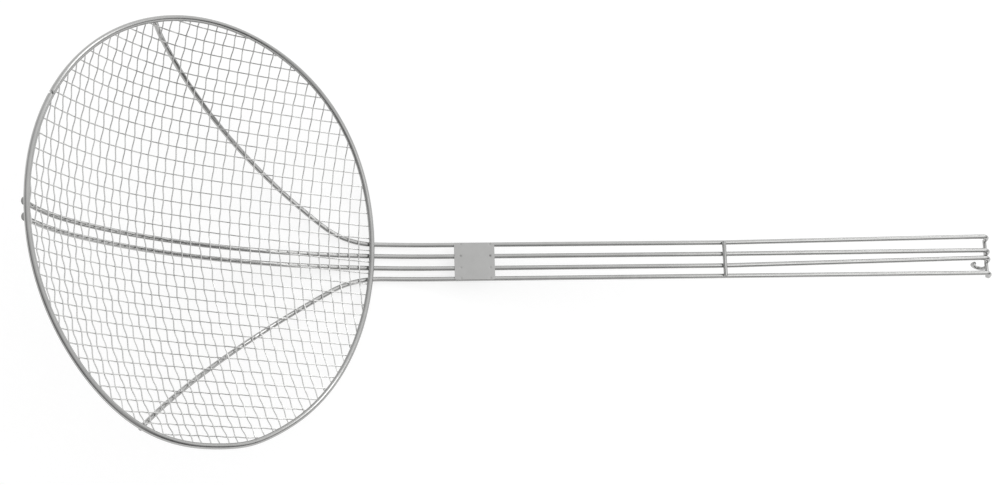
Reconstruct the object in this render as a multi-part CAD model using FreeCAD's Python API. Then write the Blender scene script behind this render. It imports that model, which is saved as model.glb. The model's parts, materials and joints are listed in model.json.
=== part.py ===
import FreeCAD, Part
import math
import os

# Spider skimmer of welded wire: a hoop, a woven bowl, four frame wires that run on as the handle,
# a bare plate and a cross wire on the handle, and an end bar with a hanging hook.
# Sizes are in millimetres and angles in degrees.

# Hoop and wires
hoop_outer_diameter = 305.0
hoop_wire = 4.2
frame_wire = 3.6
mesh_wire = 0.9
weld_gap = 0.05
hoop_gap = 0.12
wire_flats = 12
butt_angle = 150.0
butt_notch_depth = 0.9
butt_notch_width = 1.6

# Bowl
bowl_depth = 40.0
long_side_count = 17
cross_side_count = 19
mesh_edge_share = 0.665
facet_step = 4
mesh_end_gap = 0.15

# Handle
handle_angle = 40.0
handle_length = 433.5
handle_side_offset = 6.0
outer_offset = 13.2
inner_right_offset = 4.2
inner_left_offset = 5.0
end_bend_radius = 5.0
end_tail = 2.0

# Sideways drift of the handle wires, from a slight bend at the cross wire to their ends
outer_right_drift = 3.0
inner_right_drift = 0.9
inner_left_drift = 4.0
drift_bend_radius = 500.0

# Frame wire ends in the bowl
hoop_setback = 1.6
splay_bend_run = 22.0
right_splay_setback = 15.0
right_splay_angle = 109.5
left_splay_setback = 10.0
left_splay_angle = 113.0

# Plate, cross wire, end bar and hanging hook
plate_start = 9.5
plate_length = 31.0
plate_width = 28.4
plate_thickness = 0.8
plate_corner_radius = 1.2
cross_wire = 3.2
cross_wire_start = 221.0
end_bar_wire = 3.0
bar_overhang = 0.6
hook_wire = 3.0
hook_radius = 4.75
hook_root = 4.5
hook_tip_rise = 4.0
hook_turn_angle = 22.0

overrun = 1.0
end_step = 1e-6

# Bowl sphere through the hoop's centreline, with its centre on the bowl's axis
hoop_radius = (hoop_outer_diameter - hoop_wire) / 2
bowl_radius = (hoop_radius**2 + bowl_depth**2) / (2 * bowl_depth)
bowl_centre_height = bowl_radius - bowl_depth
rim_angle = math.asin(hoop_radius / bowl_radius)

# The frame wires lie under the hoop, the cross wires on them, and the long wires on those
frame_radius = bowl_radius + (hoop_wire + frame_wire) / 2 + hoop_gap
cross_radius = frame_radius - (frame_wire + mesh_wire) / 2 - weld_gap
long_radius = cross_radius - mesh_wire * math.sqrt(2) - weld_gap

handle_middle = -handle_side_offset
handle_slope = math.radians(handle_angle)
along = FreeCAD.Vector(math.cos(handle_slope), 0, math.sin(handle_slope))
down = FreeCAD.Vector(math.sin(handle_slope), 0, -math.cos(handle_slope))
handle_start = FreeCAD.Vector(0, 0, bowl_centre_height) + down * frame_radius

parts = {}


def line(start, end):
    return Part.LineSegment(start, end).toShape()


def arc_about(centre, first, last, radius):
    """Arc from one unit direction to another about a centre, the short way round."""
    middle = (first + last).normalize()
    points = [centre + direction * radius for direction in (first, middle, last)]
    return Part.Arc(*points).toShape()


def arc_from(start, heading, end):
    """Arc that leaves a point along a heading and ends at another point."""
    chord = end - start
    turn = heading.getAngle(chord)
    rise = (heading - chord * (heading.dot(chord) / chord.dot(chord))).normalize()
    middle = start + chord * 0.5 + rise * (chord.Length / 2 * math.tan(turn / 2))
    return Part.Arc(start, middle, end).toShape()


def section(centre, heading, diameter):
    """Outline of a wire's section with many flats, as wide across the flats as the wire."""
    side_way = FreeCAD.Vector(0, 1, 0)
    up_way = heading.cross(side_way)
    corner_radius = diameter / 2 / math.cos(math.pi / wire_flats)
    corners = []
    for index in range(wire_flats):
        turn = 2 * math.pi * (index + 0.5) / wire_flats
        corners.append(centre + (side_way * math.sin(turn) + up_way * math.cos(turn)) * corner_radius)
    return Part.makePolygon(corners + corners[:1])


def bent_wire(edges, diameter):
    """Wire along a smooth path of lines and arcs: straight runs are extruded and bends revolved."""
    first = edges[0]
    outline = section(first.valueAt(first.FirstParameter), first.tangentAt(first.FirstParameter), diameter)
    faces = [Part.Face(outline)]
    for edge in edges:
        if isinstance(edge.Curve, Part.Line):
            step = edge.valueAt(edge.LastParameter) - edge.valueAt(edge.FirstParameter)
            faces += outline.extrude(step).Faces
            outline.translate(step)
        else:
            turn = math.degrees(edge.LastParameter - edge.FirstParameter)
            faces += outline.revolve(edge.Curve.Center, edge.Curve.Axis, turn).Faces
            outline.rotate(edge.Curve.Center, edge.Curve.Axis, turn)
    faces.append(Part.Face(outline))
    return Part.Solid(Part.Shell(faces))


def below(angle, way=FreeCAD.Vector(1, 0, 0)):
    """Unit direction turned from straight down towards a level way, the handle's unless named."""
    return way * math.sin(angle) - FreeCAD.Vector(0, 0, 1) * math.cos(angle)


def handle_run(side, drift):
    """Tail, end bend and run of one handle wire, from its tip down to the bowl's arc."""
    run_end = handle_start + FreeCAD.Vector(0, side, 0)
    knee = run_end + along * cross_wire_start
    bend_start = run_end + along * handle_length + FreeCAD.Vector(0, drift, 0)
    ahead = (bend_start - knee).normalize()
    bend_centre = bend_start + down * end_bend_radius
    bend_end = bend_centre + ahead * end_bend_radius
    edges = [line(bend_end + down * end_tail, bend_end)]
    edges.append(arc_about(bend_centre, ahead, down * -1, end_bend_radius))
    if not drift:
        return edges + [line(bend_start, run_end)]
    reach = drift_bend_radius * math.tan(ahead.getAngle(along) / 2)
    knee_start = knee + ahead * reach
    knee_end = knee - along * reach
    knee_bend = arc_from(knee_start, ahead * -1, knee_end)
    return edges + [line(bend_start, knee_start), knee_bend, line(knee_end, run_end)]


def inner_wire(side, drift):
    """Wire that runs straight under the bowl and ends under the far side of the hoop."""
    centre = FreeCAD.Vector(0, side, bowl_centre_height)
    far_hoop = FreeCAD.Vector(-math.sqrt(hoop_radius**2 - side**2), side, 0)
    to_hoop = far_hoop - centre
    end_angle = hoop_setback / frame_radius - math.atan2(-to_hoop.x, -to_hoop.z)
    bowl_run = arc_about(centre, below(handle_slope), below(end_angle), frame_radius)
    return bent_wire(handle_run(side, drift) + [bowl_run], frame_wire)


def outer_wire(side, drift, splay_setback, splay_angle):
    """Wire that dips under the hoop, turns aside and runs up to the hoop's flank."""
    centre = FreeCAD.Vector(0, side, bowl_centre_height)
    bowl_centre = FreeCAD.Vector(0, 0, bowl_centre_height)
    corner_angle = math.asin((hoop_radius - splay_setback) / frame_radius)
    bend_angle = corner_angle + math.atan(splay_bend_run / frame_radius)
    heading = FreeCAD.Vector(0, 1, 0).cross(below(bend_angle))
    bend_start = centre + below(bend_angle) * frame_radius
    corner = bend_start + heading * splay_bend_run

    # The splayed run lies on the bowl, in the upright plane from the corner to the hoop's flank
    flank = math.radians(splay_angle)
    hoop_point = FreeCAD.Vector(math.cos(flank), math.sin(flank), 0) * hoop_radius
    end = bowl_centre + (hoop_point - bowl_centre).normalize() * frame_radius
    way = FreeCAD.Vector(end.x - corner.x, end.y - corner.y, 0).normalize()
    across = FreeCAD.Vector(-way.y, way.x, 0)
    splay_centre = bowl_centre + across * across.dot(corner)
    splay_radius = math.sqrt(frame_radius**2 - across.dot(corner)**2)

    # It leaves the corner straight, until it touches the bowl
    to_corner = corner - splay_centre
    corner_lean = math.atan2(to_corner.dot(way), -to_corner.z)
    touch_lean = corner_lean + math.acos(splay_radius / to_corner.Length)
    touch = splay_centre + below(touch_lean, way) * splay_radius
    to_end = end - splay_centre
    end_lean = math.atan2(to_end.dot(way), -to_end.z) - hoop_setback / splay_radius
    bend_end = corner + (touch - corner).normalize() * splay_bend_run

    dip = arc_about(centre, below(handle_slope), below(bend_angle), frame_radius)
    bend = arc_from(bend_start, heading, bend_end)
    splay = arc_about(splay_centre, below(touch_lean, way), below(end_lean, way), splay_radius)
    return bent_wire(handle_run(side, drift) + [dip, bend, line(bend_end, touch), splay], frame_wire)


def hoop():
    """Round hoop, with the notch left outside where its two ends are butt welded."""
    profile = section(FreeCAD.Vector(0, hoop_radius, 0), FreeCAD.Vector(1, 0, 0), hoop_wire)
    ring = Part.Face(profile).revolve(FreeCAD.Vector(), FreeCAD.Vector(0, 0, 1), 360.0)
    outside = hoop_outer_diameter / 2
    depth_point = FreeCAD.Vector(outside - butt_notch_depth, 0, 0)
    mouth = butt_notch_width / 2 * (butt_notch_depth + overrun) / butt_notch_depth
    corners = [
        depth_point,
        FreeCAD.Vector(outside + overrun, -mouth, 0),
        FreeCAD.Vector(outside + overrun, mouth, 0),
        depth_point,
    ]
    wedge = Part.Face(Part.makePolygon(corners)).extrude(FreeCAD.Vector(0, 0, 2 * hoop_wire))
    wedge.translate(FreeCAD.Vector(0, 0, -hoop_wire))
    wedge.rotate(FreeCAD.Vector(), FreeCAD.Vector(0, 0, 1), butt_angle)
    return ring.cut(wedge)


def mesh_place(index, side_count):
    """How far from the bowl's middle a mesh wire lies, with even steps along the bowl's surface."""
    return bowl_radius * math.sin(rim_angle * index / (side_count + mesh_edge_share))


def mesh_knots(radius, index, side_count, other_count):
    """A mesh wire's offset, and the places and heights along one half where its straight chords meet.

    The chords of both layers follow the same flat-sided bowl, so the layers stay evenly apart.
    """
    offset = mesh_place(index, side_count)
    low, high = (mesh_place((index // facet_step + step) * facet_step, side_count) for step in (0, 1))
    share = (offset - low) / (high - low)
    knots = []
    while not knots or math.hypot(knots[-1][0], offset) < hoop_radius:
        place = mesh_place(len(knots) * facet_step, other_count)
        low_height = bowl_centre_height - math.sqrt(radius**2 - place**2 - low**2)
        high_height = bowl_centre_height - math.sqrt(radius**2 - place**2 - high**2)
        knots.append((place, low_height + (high_height - low_height) * share))
    return offset, knots


def chord_height(knots, place):
    """Height over a place on the straight chords between knots."""
    for (start, low), (end, high) in zip(knots, knots[1:]):
        if start <= place <= end:
            return low + (high - low) * (place - start) / (end - start)


def mesh_end(offset, knots):
    """Place along its chords where a mesh wire ends, just clear of the hoop."""
    clear = hoop_wire / 2 + mesh_wire / math.sqrt(2) + mesh_end_gap
    near = 0.0
    far = math.sqrt(hoop_radius**2 - offset**2)
    while far - near > end_step:
        middle = (near + far) / 2
        reach = math.hypot(middle, offset) - hoop_radius
        if math.hypot(reach, chord_height(knots, middle)) > clear:
            near = middle
        else:
            far = middle
    return near


def mesh_strand(radius, index, side_count, other_count):
    """One bowl wire in an upright plane, kept light with a square section and straight chords."""
    offset, knots = mesh_knots(radius, index, side_count, other_count)
    end = mesh_end(offset, knots)
    half = [knot for knot in knots if knot[0] < end] + [(end, chord_height(knots, end))]
    path = [(-place, height) for place, height in reversed(half[1:])] + half
    centre = FreeCAD.Vector(0, offset, bowl_centre_height)
    outer = []
    inner = []
    for place, height in path:
        point = FreeCAD.Vector(place, offset, height)
        thickness = (point - centre).normalize() * (mesh_wire / 2)
        outer.append(point + thickness)
        inner.append(point - thickness)
    side = Part.Face(Part.makePolygon(outer + inner[::-1] + outer[:1]))
    side.translate(FreeCAD.Vector(0, -mesh_wire / 2, 0))
    return side.extrude(FreeCAD.Vector(0, mesh_wire, 0))


def mesh_wires(name, radius, side_count, other_count, quarter_turns):
    """All wires one way, from the middle one outwards, each with its twin on the other side."""
    for index in range(side_count + 1):
        places = sorted({-index, index})
        twins = [mesh_strand(radius, place, side_count, other_count) for place in places]
        group = Part.makeCompound(twins)
        group.rotate(FreeCAD.Vector(), FreeCAD.Vector(0, 0, 1), 90.0 * quarter_turns)
        parts[f"{name}_{index:02d}"] = group


def on_handle(shape):
    """Turn and move a piece drawn along X, with Z up, onto the handle's middle line."""
    shape.rotate(FreeCAD.Vector(), FreeCAD.Vector(0, 1, 0), -handle_angle)
    shape.translate(handle_start + FreeCAD.Vector(0, handle_middle, 0))
    return shape


def handle_bar(diameter, place, height, drift):
    """Round bar across the four handle wires, longer where the outer right wire has drifted."""
    length = 2 * (outer_offset + bar_overhang) + drift
    start = FreeCAD.Vector(place, -outer_offset - bar_overhang, height)
    return on_handle(Part.makeCylinder(diameter / 2, length, start, FreeCAD.Vector(0, 1, 0)))


def handle_plate():
    """Thin bare plate with rounded corners, spot welded on top of the four wires."""
    corner = FreeCAD.Vector(plate_start, -plate_width / 2, frame_wire / 2 + weld_gap)
    plate = Part.makeBox(plate_length, plate_width, plate_thickness, corner)
    upright = [edge for edge in plate.Edges if abs(edge.tangentAt(edge.FirstParameter).z) > 0.5]
    return on_handle(plate.makeFillet(plate_corner_radius, upright))


def hanging_hook(root_place, side, root_height):
    """Hook of bent wire under the end bar, turned a little to the right."""
    root = FreeCAD.Vector(root_place, side, root_height)
    turn = math.radians(hook_turn_angle)
    ahead = FreeCAD.Vector(math.cos(turn), -math.sin(turn), 0)
    under = FreeCAD.Vector(0, 0, -1)
    bend_centre = root - ahead * hook_radius + under * hook_root
    edges = [line(root, bend_centre + ahead * hook_radius)]
    edges.append(arc_about(bend_centre, ahead, under, hook_radius))
    edges.append(arc_about(bend_centre, under, ahead * -1, hook_radius))
    tip = bend_centre - ahead * hook_radius
    edges.append(line(tip, tip - under * hook_tip_rise))
    return on_handle(bent_wire(edges, hook_wire))


parts["rim_hoop"] = hoop()
parts["inner_wire_right"] = inner_wire(handle_middle + inner_right_offset, inner_right_drift)
parts["inner_wire_left"] = inner_wire(handle_middle - inner_left_offset, inner_left_drift)
right_side = handle_middle + outer_offset
left_side = handle_middle - outer_offset
parts["outer_wire_right"] = outer_wire(right_side, outer_right_drift, right_splay_setback, right_splay_angle)
parts["outer_wire_left"] = outer_wire(left_side, 0, left_splay_setback, -left_splay_angle)
parts["handle_plate"] = handle_plate()

cross_height = (frame_wire + cross_wire) / 2 + weld_gap
parts["handle_cross_wire"] = handle_bar(cross_wire, cross_wire_start, cross_height, 0)

# The end bar closes the four tails from below, and the hook hangs from it between the two left wires
tail_place = handle_length + end_bend_radius
end_bar_height = -(end_bend_radius + end_tail + weld_gap + end_bar_wire / 2)
hook_height = end_bar_height - end_bar_wire / 2 - weld_gap
hook_side = (inner_left_drift - inner_left_offset - outer_offset) / 2
parts["handle_end_bar"] = handle_bar(end_bar_wire, tail_place, end_bar_height, outer_right_drift)
parts["hanging_hook"] = hanging_hook(tail_place, hook_side, hook_height)

mesh_wires("mesh_long_wire", long_radius, long_side_count, cross_side_count, 0)
mesh_wires("mesh_cross_wire", cross_radius, cross_side_count, long_side_count, 1)

# The skimmer lies on the round of its wires, with its balance point under the bowl's centre
solids = [solid for shape in parts.values() for solid in shape.Solids]
volume = sum(solid.Volume for solid in solids)
moment = sum((solid.CenterOfMass * solid.Volume for solid in solids), FreeCAD.Vector())
balance = moment * (1 / volume)
lean_angle = math.degrees(math.atan2(balance.x, bowl_centre_height - balance.z))
for shape in parts.values():
    shape.rotate(FreeCAD.Vector(), FreeCAD.Vector(0, 1, 0), lean_angle)

# The middle of its box stands over the origin, on the table
box = Part.makeCompound(list(parts.values())).optimalBoundingBox(False, False)
to_origin = FreeCAD.Vector(-box.Center.x, -box.Center.y, -box.ZMin)

os.makedirs("parts", exist_ok=True)
for name, shape in parts.items():
    shape.translate(to_origin)
    shape.exportStep(f"parts/{name}.step")
print(len(parts), "nodes,", sum(len(shape.Solids) for shape in parts.values()), "solids")
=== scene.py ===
# %% [markdown]
# # A spider skimmer of welded wire
# The skimmer is a hoop, a woven bowl, four long wires that become the handle, and a few small pieces.
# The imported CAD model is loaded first, because it fixes the skimmer's size and how it lies. Its wires have
# flats, a true circle for a hoop and an even, unwoven mesh. So each piece is replaced here by a round, plated
# one in its place, with the small unevenness of the real skimmer.

import json
import math

import bpy
from mathutils import Matrix, Vector


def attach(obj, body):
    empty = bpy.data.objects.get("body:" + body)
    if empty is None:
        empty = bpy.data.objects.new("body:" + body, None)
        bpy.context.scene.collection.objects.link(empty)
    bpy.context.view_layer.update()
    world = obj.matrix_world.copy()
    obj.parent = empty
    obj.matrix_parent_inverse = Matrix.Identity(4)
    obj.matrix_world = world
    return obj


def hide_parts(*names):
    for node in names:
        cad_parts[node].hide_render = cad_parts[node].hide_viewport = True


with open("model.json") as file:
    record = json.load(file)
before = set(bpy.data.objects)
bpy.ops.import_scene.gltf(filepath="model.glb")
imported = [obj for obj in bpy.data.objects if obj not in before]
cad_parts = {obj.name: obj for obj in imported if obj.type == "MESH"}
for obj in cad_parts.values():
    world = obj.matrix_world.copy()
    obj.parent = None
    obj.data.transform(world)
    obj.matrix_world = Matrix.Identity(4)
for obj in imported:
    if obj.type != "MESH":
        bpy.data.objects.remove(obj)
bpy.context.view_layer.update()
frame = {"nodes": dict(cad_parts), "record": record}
print("frame:", len(frame["nodes"]), "nodes")

# %% [markdown]
# ## Sizes and the lying pose
# All sizes are millimetres, as a maker would measure them. The pieces are drawn with the hoop flat and its
# centre at zero, +X to the handle. The real skimmer lies on the round of its wires, so its hoop leans. How
# far it leans, and where it lies, is read from the handle plate's face in the record.

# %% Sizes and placing
hoop_outer_diameter = 305.0
hoop_wire = 4.2
frame_wire = 3.6
mesh_wire = 0.9
weld_gap = 0.05
hoop_gap = 0.12
bowl_depth = 40.0
handle_angle = math.radians(40.0)
handle_length = 433.5
handle_middle = -6.0
outer_offset = 13.2
plate_start = 9.5
plate_length = 31.0
plate_width = 28.4
plate_thickness = 0.8

plate_middle = plate_start + plate_length / 2
hoop_radius = (hoop_outer_diameter - hoop_wire) / 2
bowl_radius = (hoop_radius**2 + bowl_depth**2) / (2 * bowl_depth)
bowl_centre = Vector((0, 0, bowl_radius - bowl_depth))
frame_radius = bowl_radius + (hoop_wire + frame_wire) / 2 + hoop_gap
across = Vector((0, 1, 0))
upward = Vector((0, 0, 1))


def below(angle, way=Vector((1, 0, 0))):
    """Direction turned from straight down towards a level way, the handle's unless named."""
    return way * math.sin(angle) - upward * math.cos(angle)


down = below(handle_angle)
along = Vector((math.cos(handle_angle), 0, math.sin(handle_angle)))
handle_start = bowl_centre + down * frame_radius


def on_handle(place, side, height):
    """Point at a place along the handle, a side step from its middle and a height over its wires."""
    return handle_start + along * place + across * (handle_middle + side) - down * height


face = next(mount for mount in frame["record"]["mounts"] if mount["name"] == "plate_face")
lean = handle_angle - math.asin(-face["axis"][0])
face_point = on_handle(plate_middle, 0, frame_wire / 2 + weld_gap + plate_thickness)
millimetre = Matrix.Scale(0.001, 4)
turned = Matrix.Rotation(lean, 4, "Y") @ millimetre
to_table = Matrix.Translation(Vector(face["pos_m"]) - turned @ face_point) @ turned
print("the hoop leans", round(math.degrees(lean), 2), "degrees")

# %% [markdown]
# ## Finishes
# The wire is mild steel, drawn, welded and then plated with bright nickel. That gives a hard grey mirror
# which is slightly blurred by the drawing marks. The tops of the wires stay bright, and their flanks and
# undersides get painted shade. The plate is cut from rolled sheet, so its grain is finer and its gloss is
# lower.
# Colours are written as sRGB hex, and each pattern's scale comes from a real size.

# %% Helpers for materials
def linear(hex_colour):
    """Linear colour of an sRGB hex value."""
    values = [int(hex_colour[i:i + 2], 16) / 255 for i in (1, 3, 5)]
    return [v / 12.92 if v <= 0.04045 else ((v + 0.055) / 1.055) ** 2.4 for v in values] + [1.0]


def add_node(tree, kind, settings=None, inputs=None):
    """Node with its settings, and each input set to a value or linked from a socket."""
    node = tree.nodes.new(kind)
    for name, value in (settings or {}).items():
        setattr(node, name, value)
    for name, value in (inputs or {}).items():
        if isinstance(value, bpy.types.NodeSocket):
            tree.links.new(value, node.inputs[name])
        else:
            node.inputs[name].default_value = value
    return node


def per_metre(size_mm):
    """Noise scale whose features are about this size."""
    return 1000 / size_mm


print("a light nickel grey is", [round(value, 3) for value in linear("#bcbcbb")])

# %% [markdown]
# ### Bright plated wire
# A mirror of one even colour looks like plastic film, so the colour is clouded over a few millimetres and the
# roughness varies with fine drawing marks. Both are noise on Object coordinates. Painted shade follows the
# surface's normal: a darker colour starts on the flanks and is full where the metal faces down. A spot weld
# leaves a dark heat mark, which is read from an attribute of the plate, and is nothing on the wires. In the
# photograph the four long wires look a little lighter than the hoop, so they get a copy of its finish painted
# lighter to match that light.

# %% Plated wire
# painted shade: how high the normal points where the darker colour starts, and where it is full
painted_shade_start = 0.4
painted_shade_full = -0.45
heat_mark = "#4c4743"
noise_low = 0.3
noise_high = 0.7
ripple_strength = 0.05
ripple_height = 0.00003


def plated_steel(name, light, dark, painted_shade, cloud_mm, marks_mm, gloss, dull):
    """Nickel plate on steel: cloudy colour, painted shade on flanks and undersides, gloss broken by fine
    marks, and a faint ripple.
    """
    material = bpy.data.materials.new(name)
    material.use_nodes = True
    tree = material.node_tree
    shader = tree.nodes["Principled BSDF"]
    shader.inputs["Metallic"].default_value = 1.0
    place = add_node(tree, "ShaderNodeTexCoord").outputs["Object"]
    clouds = add_node(tree, "ShaderNodeTexNoise", inputs={
        "Vector": place, "Scale": per_metre(cloud_mm), "Detail": 3.0, "Roughness": 0.6})
    marks = add_node(tree, "ShaderNodeTexNoise", inputs={
        "Vector": place, "Scale": per_metre(marks_mm), "Detail": 2.0, "Roughness": 0.5})
    colour = add_node(tree, "ShaderNodeMix", {"data_type": "RGBA"}, {
        "Factor": clouds.outputs["Fac"], "A": linear(dark), "B": linear(light)})
    # painted shade: the colour goes darker as the surface turns from facing up to facing down
    normal = add_node(tree, "ShaderNodeNewGeometry").outputs["Normal"]
    facing = add_node(tree, "ShaderNodeSeparateXYZ", inputs={"Vector": normal}).outputs["Z"]
    painted_shade_share = add_node(tree, "ShaderNodeMapRange", inputs={
        "Value": facing, "From Min": painted_shade_full, "From Max": painted_shade_start, "To Min": 1.0, "To Max": 0.0})
    painted_shade_colour = add_node(tree, "ShaderNodeMix", {"data_type": "RGBA"}, {
        "Factor": painted_shade_share.outputs["Result"], "A": colour.outputs["Result"], "B": linear(painted_shade)})
    heat = add_node(tree, "ShaderNodeAttribute", {"attribute_name": "weld_heat"}).outputs["Fac"]
    marked = add_node(tree, "ShaderNodeMix", {"data_type": "RGBA"}, {
        "Factor": heat, "A": painted_shade_colour.outputs["Result"], "B": linear(heat_mark)})
    rough = add_node(tree, "ShaderNodeMapRange", inputs={
        "Value": marks.outputs["Fac"], "From Min": noise_low, "From Max": noise_high,
        "To Min": gloss, "To Max": dull})
    bump = add_node(tree, "ShaderNodeBump", inputs={
        "Height": marks.outputs["Fac"], "Strength": ripple_strength, "Distance": ripple_height})
    tree.links.new(marked.outputs["Result"], shader.inputs["Base Color"])
    tree.links.new(rough.outputs["Result"], shader.inputs["Roughness"])
    tree.links.new(bump.outputs["Normal"], shader.inputs["Normal"])
    return material


# each finish's third colour is painted shade, laid on the flanks and undersides
bright_nickel = plated_steel("bright_nickel_plated_wire", light="#bcbcbb", dark="#a6a6a5", painted_shade="#949493",
                             cloud_mm=14.0, marks_mm=0.7, gloss=0.12, dull=0.26)
# the frame wires' finish is the hoop's nickel painted lighter, standing in for how the light falls on them
frame_nickel_painted_lighter = plated_steel("bright_nickel_painted_lighter_frame", light="#c3c3c2", dark="#aeaead", painted_shade="#9e9e9d",
                            cloud_mm=14.0, marks_mm=0.7, gloss=0.12, dull=0.26)
mesh_nickel = plated_steel("nickel_plated_fine_wire", light="#dededd", dark="#cacac9", painted_shade="#c4c4c3",
                           cloud_mm=9.0, marks_mm=0.5, gloss=0.2, dull=0.36)
rolled_sheet = plated_steel("plated_rolled_steel_sheet", light="#c0c0bf", dark="#b4b4b3", painted_shade="#80807f",
                            cloud_mm=11.0, marks_mm=0.35, gloss=0.34, dull=0.46)
print("materials:", [m.name for m in (bright_nickel, frame_nickel_painted_lighter, mesh_nickel, rolled_sheet)])

# %% [markdown]
# ## Drawing with wire
# A round wire is made as it is bent: a disc is placed at one end, extruded along each straight run and spun
# round each bend. The helper functions below keep the wire in edit mode until it is finished. Then doubles
# are merged, the normals are turned outwards, and the mesh is laid on the table.

# %% Helpers for wires
wire_sides = 20
bend_step = math.radians(4.0)
smooth_angle = math.radians(40.0)
merge_distance = 0.001


def start_wire(name, point, heading, diameter):
    """Disc at one end of a wire, left in edit mode."""
    bpy.ops.object.select_all(action="DESELECT")
    bpy.ops.mesh.primitive_circle_add(
        vertices=wire_sides, radius=diameter / 2, fill_type="NGON", location=point,
        rotation=heading.to_track_quat("Z", "Y").to_euler())
    piece = bpy.context.object
    piece.name = piece.data.name = name
    bpy.ops.object.transform_apply(location=True, rotation=True, scale=True)
    bpy.ops.object.mode_set(mode="EDIT")
    bpy.ops.mesh.select_all(action="SELECT")
    return piece


def run(vector):
    """Straight run of the wire."""
    bpy.ops.mesh.extrude_region_move(TRANSFORM_OT_translate={"value": vector})


def bend(centre, axis, angle, step=bend_step):
    """Bend of the wire round an axis."""
    steps = max(2, math.ceil(angle / step))
    bpy.ops.mesh.spin(steps=steps, angle=-angle, center=centre, axis=axis)


def settle(piece, material, slot, *nodes):
    """Close a piece's mesh, lay it on the table and let it stand for its CAD nodes."""
    bpy.ops.object.mode_set(mode="EDIT")
    bpy.ops.mesh.select_all(action="SELECT")
    bpy.ops.mesh.remove_doubles(threshold=merge_distance)
    bpy.ops.mesh.normals_make_consistent(inside=False)
    bpy.ops.object.mode_set(mode="OBJECT")
    piece.data.transform(to_table)
    bpy.ops.object.shade_smooth_by_angle(angle=smooth_angle)
    piece.data.materials.clear()
    piece.data.materials.append(material)
    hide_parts(*nodes)
    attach(piece, "root")
    print(piece.name, len(piece.data.polygons), "faces")


print("a wire has", wire_sides, "sides")

# %% [markdown]
# ## The hoop
# The hoop is one wire bent to a ring, and its two ends are butt welded. The weld leaves a small notch on the
# outside. A torus gives the ring. A cut at the weld and one on each side of it give the notch clean edges,
# and its middle is pushed in. The real ring isn't quite round: it bulges at four places and is a little
# hollow between.

# %% Hoop
butt_angle = math.radians(151.0)
butt_notch_depth = 1.7
butt_notch_width = 2.4
hoop_segments = 240
hoop_sides = 28
hoop_hollow = 1.5
# each bulge has its middle in degrees, its height and its spread in degrees
hoop_bulges = ((36.0, 5.6, 31.0), (147.0, 3.0, 35.0), (249.0, 3.3, 21.5), (282.0, 1.2, 8.5))


def hoop_stray(angle):
    """How far the ring lies outside a true circle at an angle."""
    stray = -hoop_hollow
    for middle, height, spread in hoop_bulges:
        aside = (math.degrees(angle) - middle + 180) % 360 - 180
        stray += height * math.exp(-((aside / spread) ** 2))
    return stray


bpy.ops.object.select_all(action="DESELECT")
bpy.ops.mesh.primitive_torus_add(major_segments=hoop_segments, minor_segments=hoop_sides,
                                 major_radius=hoop_radius, minor_radius=hoop_wire / 2)
hoop = bpy.context.object
hoop.name = hoop.data.name = "rim_hoop_round"
butt = Vector((math.cos(butt_angle), math.sin(butt_angle), 0))
beside = Vector((-butt.y, butt.x, 0))
bpy.ops.object.mode_set(mode="EDIT")
for share in (-0.5, 0.0, 0.5):
    bpy.ops.mesh.select_all(action="SELECT")
    bpy.ops.mesh.bisect(plane_co=beside * (share * butt_notch_width), plane_no=beside)
bpy.ops.mesh.select_all(action="DESELECT")
bpy.ops.object.mode_set(mode="OBJECT")
for vertex in hoop.data.vertices:
    outside = vertex.co.dot(butt) - hoop_radius
    vertex.select = outside > 0 and abs(vertex.co.dot(beside)) < butt_notch_width / 4
bpy.ops.object.mode_set(mode="EDIT")
bpy.ops.transform.translate(value=butt * -butt_notch_depth)
bpy.ops.object.mode_set(mode="OBJECT")
for vertex in hoop.data.vertices:
    angle = math.atan2(vertex.co.y, vertex.co.x)
    vertex.co += Vector((math.cos(angle), math.sin(angle), 0)) * hoop_stray(angle)
settle(hoop, bright_nickel, "frame_wire", "rim_hoop")

# %% [markdown]
# ## The inner wires
# Each of the two middle wires is one length from the handle's end to the far rim. It starts at its bent-down
# tail, which leans to the left, runs along the handle, follows the bowl in one long arc, and ends under the
# far side of the hoop. The handle was welded by hand: from the cross wire on, three of its wires drift
# sideways to their ends. At the far rim the wire's end is pinched, so it shows as a small lug outside.

# %% Inner wires
end_bend_radius = 5.0
end_tail = 2.0
tail_lean = math.radians(14.0)
cross_wire_start = 221.0
drift_bend_radius = 500.0
hoop_setback = 1.6
inner_right_offset = 4.2
inner_right_drift = 0.9
inner_right_stray = 2.8
inner_left_offset = 5.0
inner_left_drift = 4.0
inner_left_stray = 1.8
bowl_step = math.radians(1.5)
knee_step = math.radians(0.2)
press_run = 20.0
press_depth = 1.2
cut_edge = 0.5
cut_edge_steps = 3
stray_run = 50.0
pinch_run = 8.0
pinch_ramp = 0.5
pinch_spread = 0.5
pinch_drop = 0.3


def ease_ends():
    """Break the sharp edge round both cut ends of the wire in edit mode."""
    bpy.ops.mesh.select_all(action="DESELECT")
    bpy.ops.mesh.select_mode(type="FACE")
    bpy.ops.mesh.select_face_by_sides(number=wire_sides, type="EQUAL")
    bpy.ops.mesh.select_mode(type="EDGE")
    bpy.ops.mesh.bevel(offset=cut_edge, segments=cut_edge_steps)


def press_end(point, outward, axis, stray):
    """Last bend of a wire, a little tighter, because its end was pressed against the hoop and welded."""
    depth = press_depth - stray * hoop_radius / bowl_radius
    radius = 1 / (1 / frame_radius + 2 * depth / press_run**2)
    bend(point - outward * radius, axis, press_run / radius, bowl_step)


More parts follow.
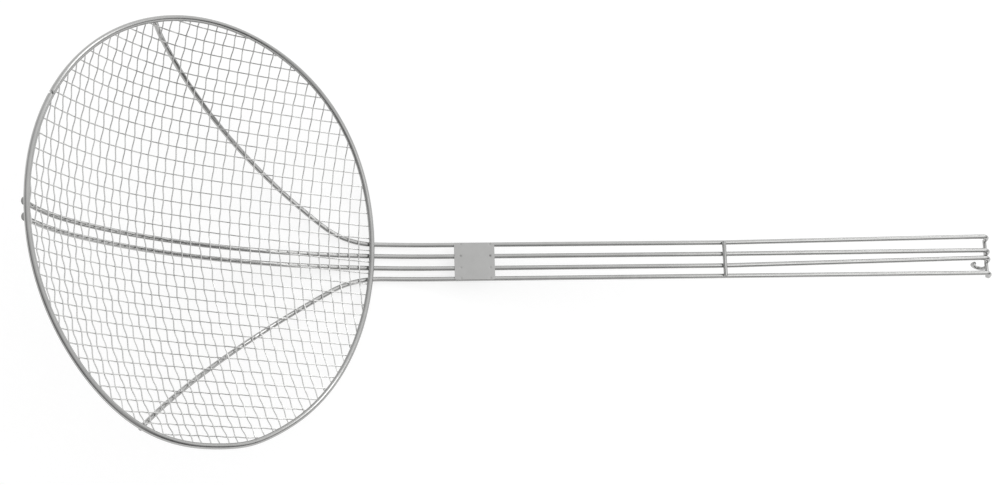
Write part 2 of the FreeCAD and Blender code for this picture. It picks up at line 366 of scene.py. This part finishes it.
def start_handle(name, side, drift):
    """Tail, end bend and run of one handle wire, which drifts sideways from the cross wire to its end."""
    knee = on_handle(cross_wire_start, side, 0)
    bend_start = on_handle(handle_length, side + drift, 0)
    ahead = (bend_start - knee).normalized()
    tail_way = down * math.cos(tail_lean) + down.cross(ahead) * math.sin(tail_lean)
    tail = (end_bend_radius + end_tail) / math.cos(tail_lean) - end_bend_radius
    bend_centre = bend_start + tail_way * end_bend_radius
    piece = start_wire(name, bend_centre + ahead * end_bend_radius + tail_way * tail, -tail_way, frame_wire)
    run(tail_way * -tail)
    bend(bend_centre, tail_way.cross(ahead), math.pi / 2, 2 * bend_step)
    turn = ahead.angle(along)
    reach = drift_bend_radius * math.tan(turn / 2)
    run(knee + ahead * reach - bend_start)
    if drift:
        knee_centre = knee - along * reach + along.cross(down) * drift_bend_radius
        bend(knee_centre, down, turn, knee_step)
    run(on_handle(0, side, 0) - knee + along * reach)
    return piece


def pinch_end(piece, end, outward, stray):
    """Let the last stretch of a wire stray sideways, and widen its end where it was pinched for welding."""
    bpy.ops.object.mode_set(mode="OBJECT")
    for vertex in piece.data.vertices:
        strayed = max(0, 1 - (vertex.co.x - end.x) / stray_run) ** 2
        pinched = min(1, max(0, 1 - (vertex.co.x - end.x) / pinch_run) / pinch_ramp)
        vertex.co += outward * (pinch_drop * pinched)
        vertex.co.y += (vertex.co.y - end.y) * pinch_spread * pinched + stray * strayed


for name, offset, drift, stray in (
        ("inner_wire_right", inner_right_offset, inner_right_drift, inner_right_stray),
        ("inner_wire_left", -inner_left_offset, inner_left_drift, inner_left_stray)):
    piece = start_handle(name + "_round", offset, drift)
    side = handle_middle + offset
    far_hoop = Vector((-math.sqrt(hoop_radius**2 - side**2), side, 0))
    centre = bowl_centre + across * side
    end_angle = hoop_setback / frame_radius - math.atan2((centre - far_hoop).x, (centre - far_hoop).z)
    press_angle = end_angle + press_run / frame_radius
    bend(centre, across, handle_angle - press_angle, bowl_step)
    far_stray = hoop_stray(math.atan2(far_hoop.y, far_hoop.x))
    press_end(centre + below(press_angle) * frame_radius, below(press_angle), across, far_stray)
    ease_ends()
    pinch_end(piece, centre + below(end_angle) * frame_radius, below(end_angle), stray)
    settle(piece, frame_nickel_painted_lighter, "frame_wire", name)

# %% [markdown]
# ## The outer wires
# The two outer wires leave the handle just inside the near rim. Each turns aside in one open bend, lies on
# the bowl's surface, and ends under the hoop's flank. The bend's plane is slanted, so its centre and axis are
# worked out from the two headings that it joins.

# %% Outer wires
outer_right_drift = 3.0
splay_bend_run = 22.0
right_splay_setback = 15.0
right_splay_angle = 109.5
left_splay_setback = 10.0
left_splay_angle = -113.0

for name, offset, drift, splay_setback, splay_angle in (
        ("outer_wire_right", outer_offset, outer_right_drift, right_splay_setback, right_splay_angle),
        ("outer_wire_left", -outer_offset, 0.0, left_splay_setback, left_splay_angle)):
    piece = start_handle(name + "_round", offset, drift)
    centre = bowl_centre + across * (handle_middle + offset)
    # the wire follows the bowl to the start of its splay bend
    corner_angle = math.asin((hoop_radius - splay_setback) / frame_radius)
    bend_angle = corner_angle + math.atan(splay_bend_run / frame_radius)
    bend(centre, across, handle_angle - bend_angle, bowl_step)
    heading = across.cross(below(bend_angle))
    bend_start = centre + below(bend_angle) * frame_radius
    corner = bend_start + heading * splay_bend_run

    # past the bend it lies on a smaller circle of the bowl's sphere, in an upright plane
    flank = math.radians(splay_angle)
    hoop_point = Vector((math.cos(flank), math.sin(flank), 0)) * hoop_radius
    end = bowl_centre + (hoop_point - bowl_centre).normalized() * frame_radius
    way = (end - corner).to_2d().to_3d().normalized()
    aside = upward.cross(way)
    splay_centre = bowl_centre + aside * aside.dot(corner)
    splay_radius = math.sqrt(frame_radius**2 - aside.dot(corner) ** 2)
    to_corner = corner - splay_centre
    corner_lean = math.atan2(to_corner.dot(way), -to_corner.z)
    touch_lean = corner_lean + math.acos(splay_radius / to_corner.length)
    touch = splay_centre + below(touch_lean, way) * splay_radius
    to_end = end - splay_centre
    end_lean = math.atan2(to_end.dot(way), -to_end.z) + (hoop_stray(flank) - hoop_setback) / splay_radius

    # the bend joins the two headings, and a short straight run leads on to the circle
    new_heading = (touch - corner).normalized()
    turn = heading.angle(new_heading)
    turn_axis = heading.cross(new_heading).normalized()
    turn_centre = bend_start + turn_axis.cross(heading) * (splay_bend_run / math.tan(turn / 2))
    bend(turn_centre, turn_axis, turn)
    run(touch - corner - new_heading * splay_bend_run)
    press_lean = end_lean - press_run / splay_radius
    bend(splay_centre, way.cross(upward), press_lean - touch_lean, bowl_step)
    outward = below(press_lean, way)
    press_end(splay_centre + outward * splay_radius, outward, way.cross(upward), hoop_stray(flank))
    ease_ends()
    settle(piece, frame_nickel_painted_lighter, "frame_wire", name)

# %% [markdown]
# ## Small pieces on the handle
# A short bar crosses the four wires halfway along, another closes their bent-down ends, and a small hook
# hangs from that. All are cut from the same wire, so they are drawn the same way, with their cut edges
# broken by a small bevel.

# %% Bars and hook
cross_wire = 3.2
bar_overhang = 0.6
end_bar_wire = 3.0
hook_wire = 3.0
hook_radius = 4.75
hook_root = 4.5
hook_tip_rise = 4.0
hook_turn = math.radians(22.0)

tail_place = handle_length + end_bend_radius
end_bar_height = -(end_bend_radius + end_tail + weld_gap + end_bar_wire / 2)
bar_reach = outer_offset + bar_overhang
bar_lag = (end_bend_radius + end_tail) * math.tan(tail_lean)
cross_wire_height = (frame_wire + cross_wire) / 2 + weld_gap
for name, diameter, place, height, drift, lag in (
        ("handle_cross_wire", cross_wire, cross_wire_start, cross_wire_height, 0.0, 0.0),
        ("handle_end_bar", end_bar_wire, tail_place, end_bar_height, outer_right_drift, bar_lag)):
    piece = start_wire(name + "_round", on_handle(place, -bar_reach - lag, height), across, diameter)
    run(across * (2 * bar_reach + drift))
    ease_ends()
    settle(piece, bright_nickel, "frame_wire", name)

hook_top = end_bar_height - end_bar_wire / 2 - weld_gap
hook_side = (inner_left_drift - inner_left_offset - outer_offset) / 2
hook_root_point = on_handle(tail_place, hook_side, hook_top)
to_tip = across * math.sin(hook_turn) - along * math.cos(hook_turn)
hook = start_wire("hanging_hook_round", hook_root_point, down, hook_wire)
run(down * hook_root)
bend(hook_root_point + down * hook_root + to_tip * hook_radius, down.cross(to_tip), math.pi, 2 * bend_step)
run(down * -hook_tip_rise)
ease_ends()
settle(hook, bright_nickel, "frame_wire", "hanging_hook")

# %% [markdown]
# ## The handle plate
# The plate is a thin sheet spot welded to the wires. It stays bare. A cube is scaled to the sheet and its
# upright corners are rounded. Each spot weld leaves a shallow dimple and a heat mark, darkest on one wire. So
# the sheet is divided finely, and the dimples are pressed in over the wires.

# %% Plate
plate_corner_radius = 1.2
plate_corner_steps = 5
plate_grid = 0.5
dimple_radius = 1.3
dimple_depth = 0.22
near_dimple = 4.9
far_dimple = 3.4
near_heat_share = 0.6
far_heat_share = 1.0
faint_heat = 0.25
strong_heat = 0.9

bpy.ops.object.select_all(action="DESELECT")
bpy.ops.mesh.primitive_cube_add(size=1.0)
plate = bpy.context.object
plate.name = plate.data.name = "handle_plate_sheet"
plate.scale = (plate_length, plate_width, plate_thickness)
bpy.ops.object.transform_apply(location=True, rotation=True, scale=True)
bpy.ops.object.mode_set(mode="EDIT")
bpy.ops.mesh.select_all(action="DESELECT")
bpy.ops.object.mode_set(mode="OBJECT")
for edge in plate.data.edges:
    first, second = (plate.data.vertices[i].co for i in edge.vertices)
    edge.select = abs(first.z - second.z) > plate_thickness / 2
bpy.ops.object.mode_set(mode="EDIT")
bpy.ops.mesh.bevel(offset=plate_corner_radius, segments=plate_corner_steps)
for axis, length in ((0, plate_length), (1, plate_width)):
    for index in range(1, int(length / plate_grid)):
        bpy.ops.mesh.select_all(action="SELECT")
        normal = [0, 0, 0]
        normal[axis] = 1
        point = [0, 0, 0]
        point[axis] = index * plate_grid - length / 2
        bpy.ops.mesh.bisect(plane_co=point, plane_no=normal)
bpy.ops.object.mode_set(mode="OBJECT")
weld_rows = ((near_dimple - plate_length / 2, near_heat_share),
             (plate_length / 2 - far_dimple, far_heat_share))
weld_wires = ((-outer_offset, faint_heat), (-inner_left_offset, faint_heat),
              (inner_right_offset, strong_heat), (outer_offset, faint_heat))
spots = [(x, offset, heat * share) for x, share in weld_rows for offset, heat in weld_wires]
weld_heat = plate.data.attributes.new("weld_heat", "FLOAT", "POINT")
for vertex in plate.data.vertices:
    if vertex.co.z > 0:
        near, heat = min((math.hypot(vertex.co.x - x, vertex.co.y - y), heat) for x, y, heat in spots)
        if near < dimple_radius:
            dent = math.cos(math.pi / 2 * near / dimple_radius) ** 2
            vertex.co.z -= dimple_depth * dent
            weld_heat.data[vertex.index].value = heat * dent
plate_centre = on_handle(plate_middle, 0, frame_wire / 2 + weld_gap + plate_thickness / 2)
plate.data.transform(Matrix.Translation(plate_centre) @ Matrix.Rotation(-handle_angle, 4, "Y"))
bpy.ops.object.mode_set(mode="EDIT")
settle(plate, rolled_sheet, "plate", "handle_plate")

# %% [markdown]
# ## The woven bowl
# The bowl is a square weave of fine wire, pressed to a shallow dish. The real weave is uneven: its step
# widens and narrows across the bowl. So the step is given at a few places and changes evenly between them.

# %% Places of the woven wires
long_count = 35
long_first = -143.0
long_steps = (7.3, 9.2, 7.8, 8.8, 9.9, 7.9, 7.6)
cross_count = 39
cross_first = -145.2
cross_steps = (6.4, 7.3, 7.8, 8.5, 7.7, 6.9)


def places(first, steps, count):
    """Places of woven wires in the bowl's middle, with a step that changes evenly between the given ones."""
    found = [first]
    for index in range(count - 1):
        along_steps = index / (count - 2) * (len(steps) - 1)
        before = min(int(along_steps), len(steps) - 2)
        share = along_steps - before
        found.append(found[-1] + steps[before] * (1 - share) + steps[before + 1] * share)
    return found


long_places = places(long_first, long_steps, long_count)
cross_places = places(cross_first, cross_steps, cross_count)
print("long wires from", long_first, "to", round(long_places[-1], 1))
print("cross wires from", cross_first, "to", round(cross_places[-1], 1))

# %% [markdown]
# ### How the woven wires run
# Pressing the dish has bowed and slanted the wires, so two functions say how a wire strays from its place.
# Each wire ends where it meets the hoop's underside, and that end is found by halving the stretch that holds
# it.

# %% Ways of the woven wires
near_bow = 0.00033
near_bow_start = 24.0
far_fan = 0.0000022
left_slant = 0.085
slant_middle = -35.0
slant_reach = 170.0
right_bow = 0.0006
right_bow_start = 60.0
crossing_rounds = 8
limit_rounds = 40
crossing_gap = 0.02
end_bite = 0.3
cross_crimp = 0.62
long_crimp = mesh_wire + crossing_gap - cross_crimp
weave_radius = frame_radius - (frame_wire + mesh_wire) / 2 - weld_gap - cross_crimp


def on_bowl(x, y, height):
    """Point of the weave over a place of the hoop's plane, raised towards the bowl's inside."""
    drop = math.sqrt(weave_radius**2 - x**2 - y**2)
    point = Vector((x, y, bowl_centre.z - drop))
    return point + (bowl_centre - point).normalized() * height


def long_way(x, place):
    """Point of a long wire, which bows aside near the handle and fans out at the far rim."""
    bow = near_bow * max(0, x - near_bow_start) ** 2
    fan = far_fan * place * min(0, x) ** 2
    return x, place - bow + fan


def cross_way(y, place):
    """Point of a cross wire, which slants on the left side of the bowl and bows on the right."""
    slant = left_slant * (1 - ((place - slant_middle) / slant_reach) ** 2)
    bow = right_bow * max(0, y - right_bow_start) ** 2
    return place - slant * min(0, y) - bow, y


def crossing(long_place, cross_place):
    """Where a long and a cross wire meet."""
    x = cross_place
    for _ in range(crossing_rounds):
        y = long_way(x, long_place)[1]
        x = cross_way(y, cross_place)[0]
    return x, y


def hoop_limit(way, place, end):
    """How far along a wire one of its ends meets the hoop's underside."""
    near, far = 0.0, hoop_outer_diameter / 2
    for _ in range(limit_rounds):
        middle = (near + far) / 2
        point = on_bowl(*way(end * middle, place), 0)
        radius = math.hypot(point.x, point.y)
        rim = hoop_radius + hoop_stray(math.atan2(point.y, point.x))
        gap = math.hypot(radius - rim, point.z)
        clear = radius < rim and gap > (hoop_wire + mesh_wire) / 2 - end_bite
        near, far = (middle, far) if clear else (near, middle)
    return end * near


print("the weave lies on a sphere of", round(weave_radius, 1), "mm")

# %% [markdown]
# ### Weaving
# The wires along the handle lie almost straight. The wires across are crimped more: each goes over one long
# wire and under the next, and its neighbour does the opposite. Each wire is a NURBS curve with one control
# point at every crossing, given a round bevel and made a mesh, because a weave can't be modelled by extruding
# one wire at a time.

# %% Weave
mesh_sides = 8
curve_order = 3
curve_steps = 4


def woven(node, index, own_places, others, way, meet, crimp):
    """Both twins of one woven wire, as one piece in place of its CAD node."""
    bpy.ops.object.select_all(action="DESELECT")
    bpy.ops.curve.primitive_nurbs_path_add()
    piece = bpy.context.object
    piece.name = node + "_woven"
    curve = piece.data
    curve.splines.clear()
    middle = len(own_places) // 2
    for own in sorted({middle - index, middle + index}):
        place = own_places[own]
        start, stop = hoop_limit(way, place, -1), hoop_limit(way, place, 1)
        knots = [(meet(place, other), -1 if (i + own) % 2 else 1) for i, other in enumerate(others)]
        inside = [(knot, phase) for knot, phase in knots if start + mesh_wire < knot < stop - mesh_wire]
        points = []
        for knot, phase in [(start, 0)] + inside + [(stop, 0)]:
            # a quadratic curve reaches half as far as its zigzag control points
            points += [*on_bowl(*way(knot, place), 2 * crimp * phase), 1]
        spline = curve.splines.new("NURBS")
        # a new spline already has one point, and a point is four numbers
        spline.points.add(len(points) // 4 - 1)
        spline.points.foreach_set("co", points)
        spline.order_u = curve_order
        spline.use_endpoint_u = True
        spline.resolution_u = curve_steps
    curve.dimensions = "3D"
    curve.bevel_depth = mesh_wire / 2
    curve.bevel_resolution = (mesh_sides - 4) // 2
    curve.use_fill_caps = True
    bpy.ops.object.convert(target="MESH")
    settle(bpy.context.object, mesh_nickel, "mesh_wire", node)


for index in range(long_count // 2 + 1):
    woven(f"mesh_long_wire_{index:02d}", index, long_places, cross_places, long_way,
          lambda own, other: crossing(own, other)[0], -long_crimp)
for index in range(cross_count // 2 + 1):
    woven(f"mesh_cross_wire_{index:02d}", index, cross_places, long_places, cross_way,
          lambda own, other: crossing(other, own)[1], cross_crimp)

# %% [markdown]
# ## The floor
# The skimmer lies on a large white sheet. Its paper is a plain grey that takes the light and the shadow, and
# a glow makes it white to the camera and in the metal. The glow lights nothing else, because diffuse rays
# don't see it.

# %% Floor
floor_size = 40.0
floor_drop = 0.0005
floor_glow = 0.77
paper_roughness = 0.9


def seen_rays(tree):
    """One for the rays that show a surface, to the camera or in metal and glass, and nought for its light."""
    rays = add_node(tree, "ShaderNodeLightPath")
    straight = add_node(tree, "ShaderNodeMath", {"operation": "MAXIMUM"}, {
        0: rays.outputs["Is Camera Ray"], 1: rays.outputs["Is Glossy Ray"]})
    return add_node(tree, "ShaderNodeMath", {"operation": "MAXIMUM"}, {
        0: straight.outputs[0], 1: rays.outputs["Is Transmission Ray"]}).outputs[0]


bpy.ops.object.select_all(action="DESELECT")
bpy.ops.mesh.primitive_plane_add(size=floor_size, location=(0, 0, -floor_drop))
floor = bpy.context.object
floor.name = "white_sheet"
paper = bpy.data.materials.new("white_paper_sheet")
paper.use_nodes = True
tree = paper.node_tree
shader = tree.nodes["Principled BSDF"]
shader.inputs["Base Color"].default_value = linear("#9a9a9a")
shader.inputs["Roughness"].default_value = paper_roughness
shader.inputs["Emission Color"].default_value = linear("#ffffff")
glow = add_node(tree, "ShaderNodeMath", {"operation": "MULTIPLY"}, {0: seen_rays(tree), 1: floor_glow})
tree.links.new(glow.outputs[0], shader.inputs["Emission Strength"])
floor.data.materials.append(paper)
print("floor:", floor_size, "m wide")

# %% [markdown]
# ## The studio
# Metal shows what is around it, so the studio has a bright top and duller, darker sides, which draw the dark
# edges along the wires. One side is darker still, like an open door to an unlit room. Just over the horizon
# the white sheet seems to sweep up, so that low views have a white background too.

# %% Studio
light_slope = (0.3, 0.4, 0.45)
middle_light = 0.42
least_light = 0.04
door_way = (0.87, -0.45, -0.2)
door_outside = 0.64
door_inside = 0.8
door_light = 0.2
sweep_top = 0.14
sweep_end = 0.18

world = bpy.data.worlds.new("studio")
bpy.context.scene.world = world
world.use_nodes = True
tree = world.node_tree
sight = add_node(tree, "ShaderNodeTexCoord").outputs["Generated"]
slope = add_node(tree, "ShaderNodeVectorMath", {"operation": "DOT_PRODUCT"}, {0: sight, 1: light_slope})
level = add_node(tree, "ShaderNodeMath", {"operation": "ADD"}, {0: slope.outputs["Value"], 1: middle_light})
toward_door = add_node(tree, "ShaderNodeVectorMath", {"operation": "DOT_PRODUCT"}, {0: sight, 1: door_way})
door = add_node(tree, "ShaderNodeMapRange", {"interpolation_type": "SMOOTHSTEP"}, {
    "Value": toward_door.outputs["Value"], "From Min": door_outside, "From Max": door_inside,
    "To Min": 1.0, "To Max": door_light})
room = add_node(tree, "ShaderNodeMath", {"operation": "MULTIPLY"}, {
    0: level.outputs[0], 1: door.outputs["Result"]})
dusk = add_node(tree, "ShaderNodeMath", {"operation": "MAXIMUM"}, {0: room.outputs[0], 1: least_light})
height = add_node(tree, "ShaderNodeSeparateXYZ", inputs={"Vector": sight}).outputs["Z"]
sweep = add_node(tree, "ShaderNodeMapRange", inputs={
    "Value": height, "From Min": sweep_top, "From Max": sweep_end, "To Min": 1.0, "To Max": 0.0})
shown = add_node(tree, "ShaderNodeMath", {"operation": "MULTIPLY"}, {
    0: sweep.outputs["Result"], 1: seen_rays(tree)})
backdrop = add_node(tree, "ShaderNodeMath", {"operation": "MAXIMUM"}, {
    0: dusk.outputs[0], 1: shown.outputs[0]})
tree.nodes["Background"].inputs["Color"].default_value = linear("#ffffff")
tree.links.new(backdrop.outputs[0], tree.nodes["Background"].inputs["Strength"])
print("studio:", len(tree.nodes), "nodes")

# %% [markdown]
# ## The lamps
# Two area lights draw the bright lines along the metal. A small, weak softbox hangs over the handle's end,
# and a large window stands far off, beyond the handle and to its right. Places and sizes are metres.

# %% Lamps
softbox_place = (0.6, -0.2, 1.0)
softbox_target = (0.6, -0.2, 0.0)
window_place = (4.1, 5.17, 4.38)
window_target = (-0.24, 0.0, 0.08)


def add_lamp(name, place, target, width, height, strength, spread):
    """Area light that shows in the metal at this strength, where 1 is white."""
    heading = Vector(target) - Vector(place)
    bpy.ops.object.light_add(
        type="AREA", location=place, rotation=heading.to_track_quat("-Z", "Y").to_euler())
    lamp = bpy.context.object
    lamp.name = name
    lamp.data.shape = "RECTANGLE"
    lamp.data.size = width
    lamp.data.size_y = height
    lamp.data.spread = math.radians(spread)
    lamp.data.energy = strength * math.pi * width * height
    print(name, round(lamp.data.energy, 2), "watts")


add_lamp("softbox", softbox_place, softbox_target, width=0.8, height=0.7, strength=0.27, spread=90.0)
add_lamp("window", window_place, window_target, width=4.9, height=1.7, strength=2.2, spread=180.0)
bpy.context.scene.view_settings.view_transform = "Standard"

# %% [markdown]
# ## Camera
# The camera looks down into the bowl from beyond the far rim. Its place and its view were worked out from the
# hoop, the weave and the long wires in the photograph. That was done with the hoop flat, so the camera is
# laid on the table with the rest.

# %% Camera
camera_place = Vector((-774.4, -246.06, 969.3))
camera_forward = Vector((0.72816, 0.18443, -0.66012)).normalized()
camera_right = Vector((0.67572, -0.03362, 0.73639))
focal_pixels = 1798.6
photo_width = 1000
sensor_width = 36.0

bpy.ops.object.camera_add()
camera = bpy.context.object
camera_up = camera_right.cross(camera_forward).normalized()
camera_right = camera_forward.cross(camera_up)
turn = Matrix((camera_right, camera_up, -camera_forward)).transposed().to_4x4()
camera.matrix_world = Matrix.Translation(to_table @ camera_place) @ Matrix.Rotation(lean, 4, "Y") @ turn
camera.data.sensor_width = sensor_width
camera.data.sensor_fit = "HORIZONTAL"
camera.data.lens = sensor_width * focal_pixels / photo_width
bpy.context.scene.camera = camera
print("camera lens:", round(camera.data.lens, 1), "mm")
